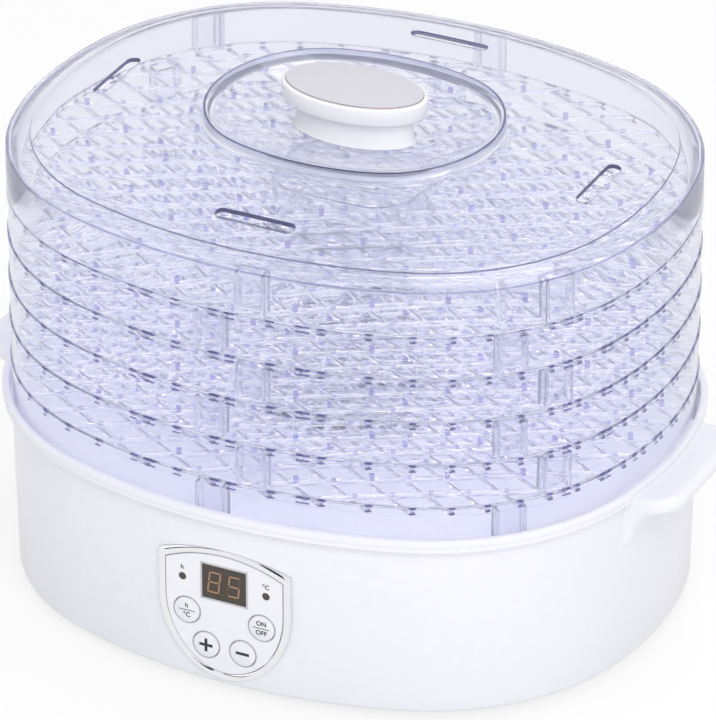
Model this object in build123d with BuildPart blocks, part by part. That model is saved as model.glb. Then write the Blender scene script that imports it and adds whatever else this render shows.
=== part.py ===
"""Food dehydrator: a heated fan base, five stacking clear trays and a clear lid with a knob.

Millimetres, +Z up. The origin is the middle of the footprint on the table, and the control panel faces -Y.
"""

import os
from math import atan, atan2, ceil, cos, degrees, hypot, radians, sin

from build123d import *

os.makedirs("parts", exist_ok=True)

# Plan outline shared by the trays, the lid and the base
stack_length = 330.0
stack_width = 280.0
stack_corner = 115.0
front_bulge = 8.0
end_bulge = 2.0

# Base housing
foot_height = 4.5
base_height = 96.5
base_wall = 2.5
base_draft = 2.0
rim_overhang = 4.5
rim_depth = 7.0
seat_depth = 7.3
seat_clearance = 0.6
deck_thickness = 2.5
deck_ledge = 2.0
deck_clearance = 0.2
handle_span = 373.0
handle_width = 80.0
handle_corner = 14.0
handle_drop = 2.5
handle_thickness = 10.0
handle_undercut = 7.0

# Trays
tray_count = 5
tray_pitch = 22.6
tray_wall = 2.0
seat_gap = 0.3
floor_clearance = 0.1
rib_spacing = 34.0
rib_width = 2.4
rib_depth = 1.8
rib_angle = 30.0
bracket_width = 15.0
bracket_depth = 8.0
bracket_wall = 1.8
bracket_shift = 14.0
bracket_corner_angle = 26.0

# Lid and knob
lid_wall_height = 23.3
lid_wall = 2.2
shoulder_inset = 7.0
shoulder_rise = 3.0
crown_inset = 74.0
crown_rise = 9.0
ridge_length = 146.0
ridge_width = 122.0
ridge_corner = 50.0
ridge_bulge = 3.0
ridge_rise = 5.0
dish_run = 40.0
dish_depth = 11.0
slot_length = 41.0
slot_width = 7.0
slot_inset_x = 38.0
slot_inset_y = 36.0
knob_length = 74.0
knob_width = 45.0
knob_corner = 14.0
knob_bulge = 2.2
knob_cap = 10.0
knob_neck_height = 14.0
knob_neck_inset = 6.5
knob_edge = 1.5
insert_inset = 2.6
insert_thickness = 0.8
insert_clearance = 0.1

# Control panel
panel_setback = 0.5
panel_half_width = 31.0
panel_top = 75.1
panel_shoulder = 68.0
panel_side = 49.5
panel_bottom = 11.3
bezel_width = 3.8
bezel_depth = 9.5
bezel_ledge = 1.6
panel_clearance = 0.3
plate_setback = 0.8
plate_thickness = 2.2
window_width = 23.4
window_height = 18.4
window_level = 59.8
window_thickness = 1.5
led_spread = 44.0
led_level = 59.2
led_diameter = 3.4
button_diameter = 13.2
button_clearance = 0.3
button_proud = 0.5
button_travel = 0.8
button_ear_reach = 1.0
button_ear_height = 7.0
button_ear_thickness = 1.2
upper_button_spread = 39.4
upper_button_level = 41.4
lower_button_spread = 19.3
lower_button_level = 24.8
board_thickness = 1.6
board_width = 64.0
board_height = 54.0
switch_side = 6.0
switch_height = 3.4
plunger_side = 3.0
plunger_height = 0.8

# Air system in the middle of the base
outlet_diameter = 104.0
grille_flange = 5.0
grille_thickness = 2.0
slat_width = 3.0
slat_spacing = 10.0
fan_diameter = 92.0
fan_hub_diameter = 24.0
fan_hub_height = 15.0
blade_count = 6
blade_chord = 24.0
blade_thickness = 1.6
blade_pitch = 32.0
fan_gap = 5.4
shaft_diameter = 5.0
shaft_clearance = 0.05
motor_length = 52.0
motor_width = 44.0
motor_height = 26.0
motor_gap = 10.0
bracket_span = 120.0
bracket_strap = 30.0
bracket_plate = 2.0
bracket_foot = 14.0
mica_length = 118.0
mica_height = 10.0
mica_thickness = 1.0
ribbon_width = 1.6
ribbon_thickness = 0.8
ribbon_runs = 8
ribbon_run_length = 64.0
ribbon_run_spacing = 10.0
cutout_size = (14.0, 7.0, 6.0)

# Underside, power board and fasteners
cover_thickness = 2.5
cover_clearance = 0.3
foot_inset_x = 75.0
foot_inset_y = 37.0
foot_top_diameter = 20.0
foot_bottom_diameter = 12.0
intake_slot_count = 9
intake_slot_width = 4.0
intake_slot_spacing = 9.0
intake_diameter = 96.0
pilot_clearance = 0.02
power_board_length = 80.0
power_board_width = 40.0
power_board_inset = 60.0
power_board_rise = 6.0
rail_width = 4.0
transformer_size = (32.0, 26.0, 24.0)
relay_size = (19.0, 15.0, 15.0)
gland_width = 12.0
gland_height = 9.0
gland_flange = 2.5
gland_flange_thickness = 2.5
gland_depth = 10.0
gland_slot_width = 6.5
gland_slot_height = 3.5
gland_level = 24.0

# Levels worked out from the dimensions above
rim_top = foot_height + base_height
seat_level = rim_top - seat_depth
deck_underside = seat_level - deck_thickness
cover_top = foot_height + cover_thickness
skirt_height = tray_pitch - seat_gap
lid_level = seat_level + tray_count * tray_pitch
lid_edge = lid_level + lid_wall_height
crown_level = lid_edge + shoulder_rise + crown_rise
ridge_top = crown_level + ridge_rise
knob_seat = ridge_top - dish_depth
knob_top = knob_seat + knob_neck_height + knob_cap
deck_inset = base_draft + base_wall - deck_ledge
panel_front = stack_width / 2 - panel_setback
plate_front = panel_front - plate_setback
plate_back = plate_front - plate_thickness
board_front = panel_front - bezel_depth
ribbon_level = deck_underside - mica_height
fan_level = ribbon_level - ribbon_thickness - fan_gap - fan_hub_height
motor_top = fan_level - motor_gap
motor_level = motor_top - motor_height
power_board_offset = stack_width / 2 - power_board_inset
foot_spread_x = stack_length - 2 * foot_inset_x
foot_spread_y = stack_width - 2 * foot_inset_y


class Oval(BaseSketchObject):
    """Eight tangent arcs: bulged front, back and ends joined by four corner arcs, drawn in by inset."""

    def __init__(self, length, width, corner, bulge_y, bulge_x, inset=0.0, mode=Mode.ADD):
        corner_x = length / 2 - corner - bulge_x
        corner_y = width / 2 - corner - bulge_y
        side_radius = (corner_x**2 + (corner + bulge_y) ** 2 - corner**2) / (2 * bulge_y)
        end_radius = (corner_y**2 + (corner + bulge_x) ** 2 - corner**2) / (2 * bulge_x)
        side_centre = width / 2 - side_radius
        end_centre = length / 2 - end_radius
        side_angle = degrees(atan2(corner_y - side_centre, corner_x))
        end_angle = degrees(atan2(corner_y, corner_x - end_centre))
        corner_sweep = side_angle - end_angle
        with BuildSketch() as outline:
            with BuildLine():
                CenterArc((end_centre, 0), end_radius - inset, -end_angle, 2 * end_angle)
                CenterArc((corner_x, corner_y), corner - inset, end_angle, corner_sweep)
                CenterArc((0, side_centre), side_radius - inset, side_angle, 180 - 2 * side_angle)
                CenterArc((-corner_x, corner_y), corner - inset, 180 - side_angle, corner_sweep)
                CenterArc((-end_centre, 0), end_radius - inset, 180 - end_angle, 2 * end_angle)
                CenterArc((-corner_x, -corner_y), corner - inset, 180 + end_angle, corner_sweep)
                CenterArc((0, -side_centre), side_radius - inset, 180 + side_angle, 180 - 2 * side_angle)
                CenterArc((corner_x, -corner_y), corner - inset, -side_angle, corner_sweep)
            make_face()
        super().__init__(obj=outline.sketch, mode=mode)


class Shield(BaseSketchObject):
    """Control panel outline: an arched top, straight sides and a half-ellipse below, grown by margin."""

    def __init__(self, margin=0.0, mode=Mode.ADD):
        half_width = panel_half_width + margin
        shoulder = panel_shoulder + margin
        with BuildSketch() as outline:
            with BuildLine():
                ThreePointArc((-half_width, shoulder), (0, panel_top + margin), (half_width, shoulder))
                Line((half_width, shoulder), (half_width, panel_side))
                EllipticalCenterArc(
                    (0, panel_side), half_width, panel_side - panel_bottom + margin, 180, arc_size=180
                )
                Line((-half_width, panel_side), (-half_width, shoulder))
            make_face()
        super().__init__(obj=outline.sketch, mode=mode)


def stack_oval(inset=0.0, mode=Mode.ADD):
    return Oval(stack_length, stack_width, stack_corner, front_bulge, end_bulge, inset, mode)


def ridge_oval(inset=0.0, mode=Mode.ADD):
    return Oval(ridge_length, ridge_width, ridge_corner, ridge_bulge, ridge_bulge, inset, mode)


def knob_oval(inset=0.0, mode=Mode.ADD):
    return Oval(knob_length, knob_width, knob_corner, knob_bulge, knob_bulge, inset, mode)


def lean(run, rise):
    """Angle from the vertical of a wall that moves in by run over a height of rise."""
    return degrees(atan(run / rise))


def panel_plane(distance):
    """A vertical plane that faces the front, at this distance forward of the middle."""
    return Plane.XZ.offset(distance)


def finish(builder, name):
    builder.part.label = name
    export_step(builder.part, f"parts/{name}.step")


# Four stacking brackets stand inside the wall of each tray and of the lid: one near the middle of the
# front and of the back, and one on each of two opposite corner arcs
corner_x = stack_length / 2 - stack_corner - end_bulge
corner_y = stack_width / 2 - stack_corner - front_bulge
bracket_places = [
    Location((bracket_shift, -stack_width / 2), 180),
    Location((-bracket_shift, stack_width / 2), 0),
    Location(
        (
            corner_x + stack_corner * cos(radians(bracket_corner_angle)),
            -corner_y - stack_corner * sin(radians(bracket_corner_angle)),
        ),
        -bracket_corner_angle - 90,
    ),
    Location(
        (
            -corner_x - stack_corner * cos(radians(bracket_corner_angle)),
            corner_y + stack_corner * sin(radians(bracket_corner_angle)),
        ),
        90 - bracket_corner_angle,
    ),
]


def brackets(plane):
    """U-shaped channels in plan, open towards the wall."""
    with BuildSketch(plane) as channels:
        with Locations(*bracket_places):
            with Locations((0, -bracket_depth)):
                Rectangle(bracket_width, bracket_wall, align=(Align.CENTER, Align.MIN))
            for side in (-1, 1):
                with Locations((side * (bracket_width - bracket_wall) / 2, -tray_wall / 2)):
                    Rectangle(bracket_wall, bracket_depth - tray_wall / 2, align=(Align.CENTER, Align.MAX))
    return channels.sketch


# Base housing: drafted wall, seat for the trays inside a beaded rim, two handle tabs and a ledge for the deck
wall_rise = base_height - rim_depth
wall_lean = lean(base_draft, wall_rise)
handle_top = rim_top - handle_drop
with BuildPart() as base_housing:
    with BuildSketch(Plane.XY.offset(foot_height)):
        stack_oval(base_draft)
    extrude(amount=wall_rise, taper=-wall_lean)
    with BuildSketch(Plane.XY.offset(handle_top)):
        RectangleRounded(handle_span, handle_width, handle_corner)
    extrude(amount=-handle_thickness, taper=lean(handle_undercut, handle_thickness))
    with BuildSketch(Plane.XY.offset(rim_top - rim_depth)):
        stack_oval(-rim_overhang)
    extrude(amount=rim_depth)
    with BuildSketch(Plane.XY.offset(foot_height)):
        stack_oval(base_draft + base_wall)
    extrude(amount=deck_underside - foot_height, mode=Mode.SUBTRACT)
    with BuildSketch(Plane.XY.offset(deck_underside)):
        stack_oval(deck_inset)
    extrude(amount=deck_thickness, mode=Mode.SUBTRACT)
    with BuildSketch(Plane.XY.offset(seat_level)):
        stack_oval(-seat_clearance)
    extrude(amount=seat_depth, mode=Mode.SUBTRACT)
    with BuildSketch(panel_plane(panel_front)):
        Shield(bezel_width + panel_clearance)
    extrude(amount=-2 * bezel_depth, mode=Mode.SUBTRACT)
    with BuildSketch(panel_plane(-stack_width / 2)):
        with Locations((0, gland_level)):
            Rectangle(gland_width + 2 * panel_clearance, gland_height + 2 * panel_clearance)
    extrude(amount=2 * gland_depth, mode=Mode.SUBTRACT)
finish(base_housing, "base_housing")

# Deck: a plate on the ledge inside the wall, with the round air outlet in its middle
with BuildPart() as base_deck:
    with BuildSketch(Plane.XY.offset(deck_underside)):
        stack_oval(deck_inset + deck_clearance)
        Circle(outlet_diameter / 2, mode=Mode.SUBTRACT)
    extrude(amount=deck_thickness)
finish(base_deck, "base_deck")

# Bottom cover: intake slots under the fan and two rails for the power board
cover_inset = base_draft + base_wall + cover_clearance
with BuildPart() as bottom_cover:
    with BuildSketch(Plane.XY.offset(foot_height)):
        stack_oval(cover_inset)
    extrude(amount=cover_thickness)
    for slot in range(intake_slot_count):
        slot_y = (slot - (intake_slot_count - 1) / 2) * intake_slot_spacing
        slot_reach = 2 * ((intake_diameter / 2) ** 2 - slot_y**2) ** 0.5
        with BuildSketch(Plane.XY.offset(foot_height)):
            with Locations((0, slot_y)):
                Rectangle(slot_reach, intake_slot_width)
        extrude(amount=cover_thickness, mode=Mode.SUBTRACT)
    with BuildSketch(Plane.XY.offset(cover_top)):
        with Locations((0, power_board_offset)):
            with GridLocations(power_board_length - rail_width, 1, 2, 1):
                Rectangle(rail_width, power_board_width)
    extrude(amount=power_board_rise)
finish(bottom_cover, "bottom_cover")

# Feet: tapered pads under the cover
with BuildPart() as rubber_feet:
    with BuildSketch(Plane.XY.offset(foot_height)):
        with GridLocations(foot_spread_x, foot_spread_y, 2, 2):
            Circle(foot_top_diameter / 2)
    extrude(amount=-foot_height, taper=lean((foot_top_diameter - foot_bottom_diameter) / 2, foot_height))
finish(rubber_feet, "rubber_feet")

# Air outlet grille: a plate that sits on the deck, with straight slots over the opening
grille_slot_count = int((outlet_diameter - 2 * slat_width) / slat_spacing)
with BuildPart() as outlet_grille:
    with BuildSketch(Plane.XY.offset(seat_level)):
        Circle(outlet_diameter / 2 + grille_flange)
    extrude(amount=grille_thickness)
    for slot in range(grille_slot_count):
        slot_x = (slot - (grille_slot_count - 1) / 2) * slat_spacing
        slot_reach = 2 * ((outlet_diameter / 2) ** 2 - slot_x**2) ** 0.5 - 2 * slat_width
        with BuildSketch(Plane.XY.offset(seat_level)):
            with Locations((slot_x, 0)):
                Rectangle(slat_spacing - slat_width, slot_reach)
        extrude(amount=grille_thickness, mode=Mode.SUBTRACT)
finish(outlet_grille, "outlet_grille")

# Fan motor: a laminated block under its strap, with a running bore for the shaft
with BuildPart() as fan_motor:
    with BuildSketch(Plane.XY.offset(motor_level)):
        Rectangle(motor_length, motor_width)
        Circle(shaft_diameter / 2 + shaft_clearance, mode=Mode.SUBTRACT)
    extrude(amount=motor_height)
finish(fan_motor, "fan_motor")

# Motor strap: a bridge that stands on the cover and carries the motor from above
with BuildPart() as motor_bracket:
    with BuildSketch(Plane.XZ):
        with Locations((0, cover_top)):
            Rectangle(
                bracket_span, motor_top + bracket_plate - cover_top, align=(Align.CENTER, Align.MIN)
            )
            Rectangle(
                bracket_span - 2 * bracket_plate,
                motor_top - cover_top,
                align=(Align.CENTER, Align.MIN),
                mode=Mode.SUBTRACT,
            )
            for side in (-1, 1):
                with Locations((side * (bracket_span + bracket_foot - bracket_plate) / 2, 0)):
                    Rectangle(bracket_foot + bracket_plate, bracket_plate, align=(Align.CENTER, Align.MIN))
    extrude(amount=bracket_strap / 2, both=True)
    with BuildSketch(Plane.XY.offset(motor_top)):
        Circle(shaft_diameter)
    extrude(amount=bracket_plate, mode=Mode.SUBTRACT)
finish(motor_bracket, "motor_bracket")

# Shaft: from under the motor up through the fan's hub
with BuildPart() as motor_shaft:
    with BuildSketch(Plane.XY.offset(motor_level)):
        Circle(shaft_diameter / 2)
    extrude(amount=fan_level + fan_hub_height - motor_level)
finish(motor_shaft, "motor_shaft")

# Fan impeller: a hub and pitched blades
hub_radius = fan_hub_diameter / 2
with BuildPart() as fan_impeller:
    with BuildSketch(Plane.XY.offset(fan_level)):
        Circle(hub_radius)
    extrude(amount=fan_hub_height)
    for number in range(blade_count):
        hub_middle = Plane.XY.offset(fan_level + fan_hub_height / 2)
        blade_plane = hub_middle.rotated((0, 0, 360 * number / blade_count))
        with BuildSketch(blade_plane * Plane.YZ.offset(hub_radius - blade_thickness)):
            Rectangle(blade_chord, blade_thickness, rotation=blade_pitch)
        extrude(amount=fan_diameter / 2 - hub_radius + blade_thickness)
    with BuildSketch(Plane.XY.offset(fan_level)):
        Circle(shaft_diameter / 2 + pilot_clearance)
    extrude(amount=fan_hub_height, mode=Mode.SUBTRACT)
finish(fan_impeller, "fan_impeller")

# Heater frame: two crossed mica boards whose ends bear on the underside of the deck
with BuildPart() as heater_frame:
    with BuildSketch(Plane.XY.offset(deck_underside)):
        Rectangle(mica_length, mica_thickness)
        Rectangle(mica_thickness, mica_length)
    extrude(amount=-mica_height)
finish(heater_frame, "heater_frame")

# Heating ribbon: a flat zigzag under the mica boards
ribbon_points = []
for run in range(ribbon_runs):
    run_x = (run - (ribbon_runs - 1) / 2) * ribbon_run_spacing
    run_end = ribbon_run_length / 2 if run % 2 == 0 else -ribbon_run_length / 2
    ribbon_points.append((run_x, -run_end))
    ribbon_points.append((run_x, run_end))
with BuildPart() as heater_ribbon:
    with BuildSketch(Plane.XY.offset(ribbon_level)):
        with BuildLine() as ribbon_path:
            Polyline(*ribbon_points)
        trace(ribbon_path.line, ribbon_width)
    extrude(amount=-ribbon_thickness)
finish(heater_ribbon, "heater_ribbon")

# Thermal cut-out: clipped to the side of one mica board
cutout_length, cutout_width, cutout_height = cutout_size
with BuildPart() as thermal_cutout:
    with BuildSketch(Plane.XY.offset(deck_underside - mica_height / 2 - cutout_height / 2)):
        with Locations((mica_thickness / 2, ribbon_run_length / 4)):
            Rectangle(cutout_width, cutout_length, align=(Align.MIN, Align.CENTER))
    extrude(amount=cutout_height)
finish(thermal_cutout, "thermal_cutout")

# Power board on the cover's rails, with a transformer and a relay
power_level = cover_top + power_board_rise
with BuildPart() as power_board:
    with BuildSketch(Plane.XY.offset(power_level)):
        with Locations((0, power_board_offset)):
            Rectangle(power_board_length, power_board_width)
    extrude(amount=board_thickness)
    for offset_x, (size_x, size_y, size_z) in (
        (-power_board_length / 4, transformer_size),
        (power_board_length / 4, relay_size),
    ):
        with BuildSketch(Plane.XY.offset(power_level + board_thickness)):
            with Locations((offset_x, power_board_offset)):
                Rectangle(size_x, size_y)
        extrude(amount=size_z)
finish(power_board, "power_board")

# Cord inlet bush in the back wall, its flange against the outside where the wall leans out furthest
gland_flange_top = gland_level + gland_height / 2 + gland_flange
gland_draft = base_draft * (1 - (gland_flange_top - foot_height) / wall_rise)
gland_face = stack_width / 2 - gland_draft + insert_clearance
with BuildPart() as cord_gland:
    with BuildSketch(panel_plane(-gland_face)):
        with Locations((0, gland_level)):
            Rectangle(gland_width, gland_height)
    extrude(amount=gland_depth)
    with BuildSketch(panel_plane(-gland_face)):
        with Locations((0, gland_level)):
            Rectangle(gland_width + 2 * gland_flange, gland_height + 2 * gland_flange)
    extrude(amount=-gland_flange_thickness)
    with BuildSketch(panel_plane(-gland_face - gland_flange_thickness)):
        with Locations((0, gland_level)):
            Rectangle(gland_slot_width, gland_slot_height)
    extrude(amount=gland_depth + gland_flange_thickness, mode=Mode.SUBTRACT)
finish(cord_gland, "cord_gland")

# Panel bezel: a frame round the plate, with a ledge behind that the plate sits on
with BuildPart() as panel_bezel:
    with BuildSketch(panel_plane(panel_front)):
        Shield(bezel_width)
    extrude(amount=-bezel_depth)
    with BuildSketch(panel_plane(panel_front)):
        Shield()
    extrude(amount=plate_back - panel_front, mode=Mode.SUBTRACT)
    with BuildSketch(panel_plane(plate_back)):
        Shield(-bezel_ledge)
    extrude(amount=-bezel_depth, mode=Mode.SUBTRACT)
finish(panel_bezel, "panel_bezel")

# Panel plate: display window, lamp and button openings
button_places = {
    "button_mode": (-upper_button_spread / 2, upper_button_level),
    "button_start": (upper_button_spread / 2, upper_button_level),
    "button_plus": (-lower_button_spread / 2, lower_button_level),
    "button_minus": (lower_button_spread / 2, lower_button_level),
}
led_places = [(-led_spread / 2, led_level), (led_spread / 2, led_level)]
with BuildPart() as panel_plate:
    with BuildSketch(panel_plane(plate_back)):
        Shield(-panel_clearance)
        with Locations((0, window_level)):
            Rectangle(window_width, window_height, mode=Mode.SUBTRACT)
        with Locations(*led_places):
            Circle(led_diameter / 2 + panel_clearance, mode=Mode.SUBTRACT)
        with Locations(*button_places.values()):
            Circle(button_diameter / 2 + button_clearance, mode=Mode.SUBTRACT)
    extrude(amount=plate_thickness)
finish(panel_plate, "panel_plate")

# Display window: a clear lens set flush in its opening
with BuildPart() as display_window:
    with BuildSketch(panel_plane(plate_front)):
        with Locations((0, window_level)):
            Rectangle(window_width - 2 * insert_clearance, window_height - 2 * insert_clearance)
    extrude(amount=-window_thickness)
finish(display_window, "display_window")

# Control board against the back of the bezel, with the display, lamps and switches that it carries
board_level = (panel_top + panel_bottom) / 2
with BuildPart() as control_board:
    with BuildSketch(panel_plane(board_front)):
        with Locations((0, board_level)):
            Rectangle(board_width, board_height)
    extrude(amount=-board_thickness)
finish(control_board, "control_board")

with BuildPart() as display_module:
    with BuildSketch(panel_plane(board_front)):
        with Locations((0, window_level)):
            Rectangle(window_width - 2 * panel_clearance, window_height - 2 * panel_clearance)
    extrude(amount=plate_front - window_thickness - insert_clearance - board_front)
finish(display_module, "display_module")

with BuildPart() as indicator_leds:
    with BuildSketch(panel_plane(board_front)):
        with Locations(*led_places):
            Circle(led_diameter / 2)
    extrude(amount=plate_front - board_front)
finish(indicator_leds, "indicator_leds")

with BuildPart() as tact_switches:
    with BuildSketch(panel_plane(board_front)):
        with Locations(*button_places.values()):
            Rectangle(switch_side, switch_side)
    extrude(amount=switch_height)
    with BuildSketch(panel_plane(board_front + switch_height)):
        with Locations(*button_places.values()):
            Rectangle(plunger_side, plunger_side)
    extrude(amount=plunger_height)
finish(tact_switches, "tact_switches")

# Buttons: a round cap through the plate, with two ears behind it that keep it in
ear_front = plate_back - button_clearance
cap_back = board_front + switch_height + plunger_height + button_travel + button_clearance
for name, place in button_places.items():
    with BuildPart() as button:
        with BuildSketch(panel_plane(plate_front + button_proud)):
            with Locations(place):
                Circle(button_diameter / 2)
        extrude(amount=cap_back - plate_front - button_proud)
        with BuildSketch(panel_plane(ear_front)):
            with Locations(place):
                Rectangle(button_diameter + 2 * button_ear_reach, button_ear_height)
        extrude(amount=-button_ear_thickness)
    finish(button, name)

# Trays: an oval wall with stacking brackets, and a floor of two crossed layers of ribs that lies in the
# wall's top and over the brackets
floor_depth = 2 * rib_depth
rib_run = hypot(stack_length, stack_width)
rib_count = 2 * ceil(rib_run / rib_spacing / 2) + 1
for number in range(1, tray_count + 1):
    tray_top = Plane.XY.offset(lid_level - (number - 1) * tray_pitch)
    with BuildPart() as tray:
        with BuildSketch(tray_top):
            stack_oval()
            stack_oval(tray_wall, mode=Mode.SUBTRACT)
        extrude(amount=-skirt_height)
        extrude(brackets(tray_top.offset(-floor_depth)), amount=floor_depth - skirt_height)
    finish(tray, f"tray_{number}")

    with BuildPart() as tray_floor:
        for angle, top in ((rib_angle, 0.0), (-rib_angle, -rib_depth)):
            with BuildSketch(tray_top.offset(top)):
                with Locations(Location((0, 0), angle)):
                    with GridLocations(1, rib_spacing, 1, rib_count):
                        Rectangle(rib_run, rib_width)
                stack_oval(tray_wall + floor_clearance, mode=Mode.INTERSECT)
            extrude(amount=-rib_depth)
    finish(tray_floor, f"tray_{number}_floor")

# Lid: clear shell with a raised oval ridge, a dish that seats the knob, vent slots and stacking brackets
lid_bottom = lid_level + seat_gap
shoulder_top = lid_edge + shoulder_rise
inner_edge = lid_edge - lid_wall / 2
inner_rise = crown_level - lid_wall - inner_edge
with BuildPart() as lid:
    with BuildSketch(Plane.XY.offset(lid_bottom)):
        stack_oval()
    extrude(amount=lid_edge - lid_bottom)
    with BuildSketch(Plane.XY.offset(lid_edge)):
        stack_oval()
    extrude(amount=shoulder_rise, taper=lean(shoulder_inset, shoulder_rise))
    with BuildSketch(Plane.XY.offset(shoulder_top)):
        stack_oval(shoulder_inset)
    extrude(amount=crown_rise, taper=lean(crown_inset - shoulder_inset, crown_rise))
    with BuildSketch(Plane.XY.offset(crown_level - lid_wall)):
        ridge_oval()
    extrude(amount=ridge_rise + lid_wall)
    with BuildSketch(Plane.XY.offset(lid_bottom)):
        stack_oval(lid_wall)
    extrude(amount=inner_edge - lid_bottom, mode=Mode.SUBTRACT)
    with BuildSketch(Plane.XY.offset(inner_edge)):
        stack_oval(lid_wall)
    extrude(amount=inner_rise, taper=lean(crown_inset - lid_wall, inner_rise), mode=Mode.SUBTRACT)
    with BuildSketch(Plane.XY.offset(crown_level - lid_wall)):
        ridge_oval(lid_wall)
    extrude(amount=ridge_rise, mode=Mode.SUBTRACT)
    with BuildSketch(Plane.XY.offset(ridge_top)):
        ridge_oval()
    extrude(amount=-dish_depth - lid_wall, taper=lean(dish_run, dish_depth + lid_wall))
    with BuildSketch(Plane.XY.offset(ridge_top)):
        ridge_oval(lid_wall)
    extrude(amount=-dish_depth, taper=lean(dish_run - lid_wall, dish_depth), mode=Mode.SUBTRACT)
    with BuildSketch(Plane.XY.offset(ridge_top)):
        with Locations((0, stack_width / 2 - slot_inset_y), (0, slot_inset_y - stack_width / 2)):
            SlotOverall(slot_length, slot_width)
        with Locations((stack_length / 2 - slot_inset_x, 0), (slot_inset_x - stack_length / 2, 0)):
            SlotOverall(slot_length, slot_width, rotation=90)
    extrude(amount=lid_edge - ridge_top - lid_wall, mode=Mode.SUBTRACT)
    extrude(brackets(Plane.XY.offset(lid_edge)), amount=lid_bottom - lid_edge)
finish(lid, "lid")

# Knob: an oval neck that stands in the dish under a wider cap, and an insert laid on the cap
with BuildPart() as lid_knob:
    with BuildSketch(Plane.XY.offset(knob_seat)):
        knob_oval(knob_neck_inset)
    extrude(amount=knob_neck_height)
    with BuildSketch(Plane.XY.offset(knob_top - knob_cap)):
        knob_oval()
    extrude(amount=knob_cap - knob_edge)
    with BuildSketch(Plane.XY.offset(knob_top - knob_edge)):
        knob_oval()
    extrude(amount=knob_edge - insert_thickness, taper=lean(knob_edge, knob_edge))
finish(lid_knob, "lid_knob")

with BuildPart() as knob_insert:
    with BuildSketch(Plane.XY.offset(knob_top - insert_thickness)):
        knob_oval(insert_inset)
    extrude(amount=insert_thickness)
finish(knob_insert, "knob_insert")
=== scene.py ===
"""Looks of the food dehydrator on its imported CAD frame. Metres, +Z up, control panel facing -Y."""

import math

import bmesh
import bpy
from mathutils import Matrix, Vector


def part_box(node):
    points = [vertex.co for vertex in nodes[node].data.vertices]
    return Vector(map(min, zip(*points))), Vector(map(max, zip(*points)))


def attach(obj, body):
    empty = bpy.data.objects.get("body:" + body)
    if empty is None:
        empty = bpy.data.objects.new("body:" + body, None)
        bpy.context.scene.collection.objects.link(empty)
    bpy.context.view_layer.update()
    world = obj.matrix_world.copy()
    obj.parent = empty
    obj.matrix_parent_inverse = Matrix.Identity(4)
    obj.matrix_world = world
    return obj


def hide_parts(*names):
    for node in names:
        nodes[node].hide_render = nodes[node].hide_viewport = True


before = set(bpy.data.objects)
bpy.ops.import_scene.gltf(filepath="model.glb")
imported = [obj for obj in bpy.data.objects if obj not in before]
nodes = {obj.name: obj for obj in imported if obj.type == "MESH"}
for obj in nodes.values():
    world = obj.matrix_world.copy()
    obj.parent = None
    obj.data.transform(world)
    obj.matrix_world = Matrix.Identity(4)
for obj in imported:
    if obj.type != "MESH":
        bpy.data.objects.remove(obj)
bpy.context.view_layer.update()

MM = 0.001

# Plan outline of the stack, as the CAD draws it
STACK_CORNER = 115 * MM
FRONT_BULGE = 8 * MM
END_BULGE = 2 * MM
RIDGE_LENGTH = 146 * MM
RIDGE_WIDTH = 122 * MM
RIDGE_CORNER = 50 * MM
RIDGE_BULGE = 3 * MM
ARC_STEPS = 24

# Trays
TRAY_COUNT = 5
WALL = 2.0 * MM
FLANGE_DEPTH = 4.0 * MM
FLANGE_PROUD = 0.6 * MM
RIB_SPACING = 15.3 * MM
RIB_ANGLE = math.radians(30)
RIB_WIDTH = 2.4 * MM
RIB_DEPTH = 1.8 * MM
RIB_BEVEL = 0.4 * MM
RIB_SINK = 1.0 * MM
RIB_LAYER_GAP = 0.1 * MM
FLOOR_SLACK = 0.2 * MM
SOFT_EDGE = 0.3 * MM
TOP_CHAMFER = 0.3 * MM
RIB_FOOT_REACH = 3.4 * MM
RIB_FOOT_THICK = 0.7 * MM
RIB_FOOT_HEIGHT = 0.55 * MM
RIB_FOOT_SLOPE = 0.05
PEG_SIDE = 2.4 * MM
PEG_RISE = 2.4 * MM
CROSSING_RISE = 0.4 * MM
PEG_WALL_GAP = 6 * MM
PEG_RING_GAP = 3 * MM
PEG_REACH = 16
RING_LENGTH = 74 * MM
RING_WIDTH = 60 * MM
RING_CORNER = 22 * MM
RING_HEIGHT = 9 * MM
RING_OVERLAP = 1 * MM
BRACKET_WIDTH = 15 * MM
BRACKET_DEPTH = 8 * MM
BRACKET_WALL = 1.6 * MM

# Control panel
PANEL_HALF_WIDTH = 31.0 * MM
PANEL_TOP = 75.1 * MM
PANEL_SHOULDER = 68.0 * MM
PANEL_SIDE = 49.5 * MM
PANEL_BOTTOM = 11.3 * MM
BEZEL_WIDTH = 3.8 * MM
BEZEL_GAP = 0.03 * MM
BUTTON_RADIUS = 6.6 * MM
PLATE_SETBACK = 0.8 * MM
PRINT_RISE = 0.06 * MM
PRINT_WEIGHT = 0.06 * MM

# Levels and sizes read from the frame
lid_low, lid_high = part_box("lid")
base_low, base_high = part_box("base_housing")
knob_low, knob_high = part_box("lid_knob")
insert_low, insert_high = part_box("knob_insert")
STACK_LENGTH = lid_high.x - lid_low.x
STACK_WIDTH = lid_high.y - lid_low.y
RIM_TOP = base_high.z
FOOT_HEIGHT = base_low.z
HANDLE_REACH = base_high.x
PANEL_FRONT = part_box("panel_bezel")[0].y
PLATE_FRONT = PANEL_FRONT + PLATE_SETBACK
PRINT_FRONT = PLATE_FRONT - PRINT_RISE
SMOOTH_ANGLE = math.radians(32)


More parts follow.
